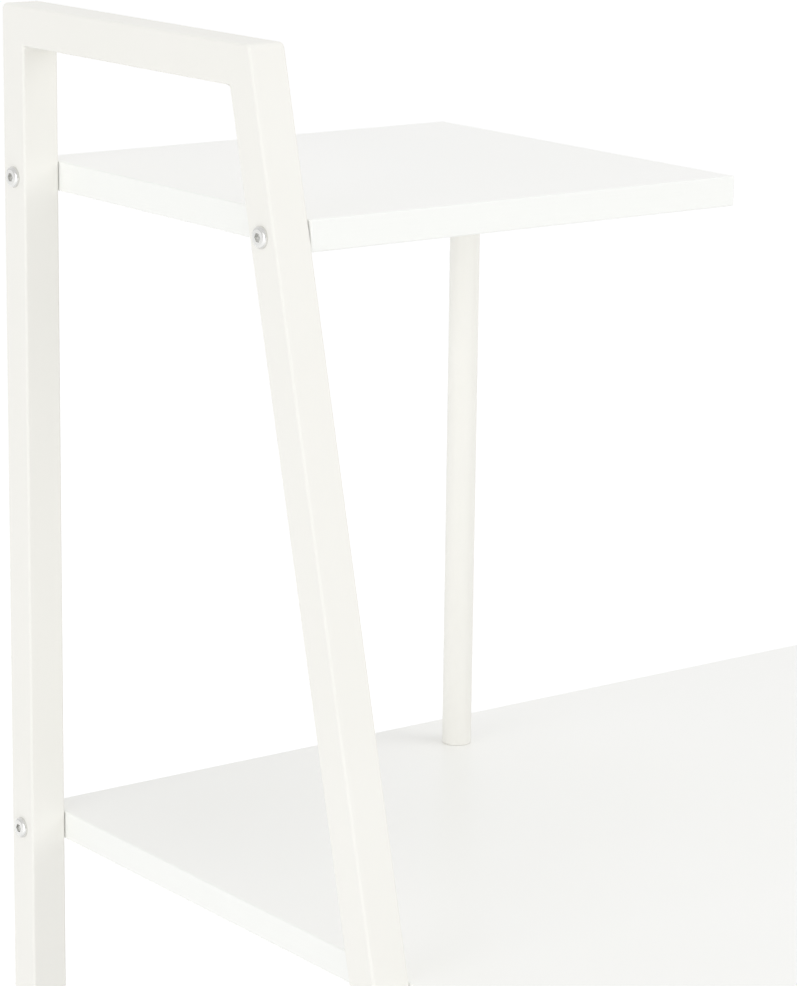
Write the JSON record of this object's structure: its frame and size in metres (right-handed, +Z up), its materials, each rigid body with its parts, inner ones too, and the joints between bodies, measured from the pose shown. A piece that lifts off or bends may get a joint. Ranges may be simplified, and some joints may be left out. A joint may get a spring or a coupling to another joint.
{
  "type": "ladder desk",
  "caption": "Ladder desk: leaning square-tube side frames hold a wide desktop and, at one end, a small raised shelf propped by a slim round post.",
  "frame": {"origin": "on the floor, under the middle of the desk's width and depth", "axes": "+X to the right as seen by someone sitting at the desk, +Y to the back, +Z up; the front edge of the desktop faces -Y"},
  "size_m": [1.0244, 0.5, 1.17],
  "materials": {
    "powder_coat": "satin warm white powder coat on steel tube",
    "melamine_board": "particle board faced with satin white melamine",
    "edge_band": "white ABS edge band, satin",
    "zinc_plated_steel": "bright zinc plate",
    "foot_plastic": "moulded dark grey polyethylene"
  },
  "bodies": {
    "desk": {"left_back_post": "powder_coat", "left_top_bar": "powder_coat", "left_front_leg": "powder_coat", "left_floor_rail": "powder_coat", "right_back_post": "powder_coat", "right_top_bar": "powder_coat", "right_front_leg": "powder_coat", "right_floor_rail": "powder_coat", "back_stretcher": "powder_coat", "shelf_post": "powder_coat", "desktop": "melamine_board", "upper_shelf": "melamine_board", "desktop_front_band": "edge_band", "desktop_back_band": "edge_band", "desktop_left_band": "edge_band", "desktop_right_band": "edge_band", "upper_shelf_front_band": "edge_band", "upper_shelf_back_band": "edge_band", "upper_shelf_left_band": "edge_band", "upper_shelf_right_band": "edge_band", "desktop_bolts": "zinc_plated_steel", "shelf_bolts": "zinc_plated_steel", "stretcher_bolts": "zinc_plated_steel", "post_bolt": "zinc_plated_steel", "post_washer": "zinc_plated_steel", "post_stud": "zinc_plated_steel", "shelf_insert": "zinc_plated_steel", "desktop_barrel_nuts": "zinc_plated_steel", "shelf_barrel_nuts": "zinc_plated_steel", "stretcher_end_blocks": "zinc_plated_steel", "foot_nuts": "zinc_plated_steel", "post_lower_plug": "zinc_plated_steel", "post_upper_plug": "zinc_plated_steel"},
    "foot_front_left": {"foot_pad_front_left": "foot_plastic", "foot_stud_front_left": "zinc_plated_steel"},
    "foot_front_right": {"foot_pad_front_right": "foot_plastic", "foot_stud_front_right": "zinc_plated_steel"},
    "foot_rear_left": {"foot_pad_rear_left": "foot_plastic", "foot_stud_rear_left": "zinc_plated_steel"},
    "foot_rear_right": {"foot_pad_rear_right": "foot_plastic", "foot_stud_rear_right": "zinc_plated_steel"}
  },
  "joints": [
    {"name": "foot_front_left_level", "type": "slide", "parent": "desk", "child": "foot_front_left", "axis": [0, 0, -1], "range_m": [0, 0.01]},
    {"name": "foot_front_right_level", "type": "slide", "parent": "desk", "child": "foot_front_right", "axis": [0, 0, -1], "range_m": [0, 0.01]},
    {"name": "foot_rear_left_level", "type": "slide", "parent": "desk", "child": "foot_rear_left", "axis": [0, 0, -1], "range_m": [0, 0.01]},
    {"name": "foot_rear_right_level", "type": "slide", "parent": "desk", "child": "foot_rear_right", "axis": [0, 0, -1], "range_m": [0, 0.01]}
  ]
}
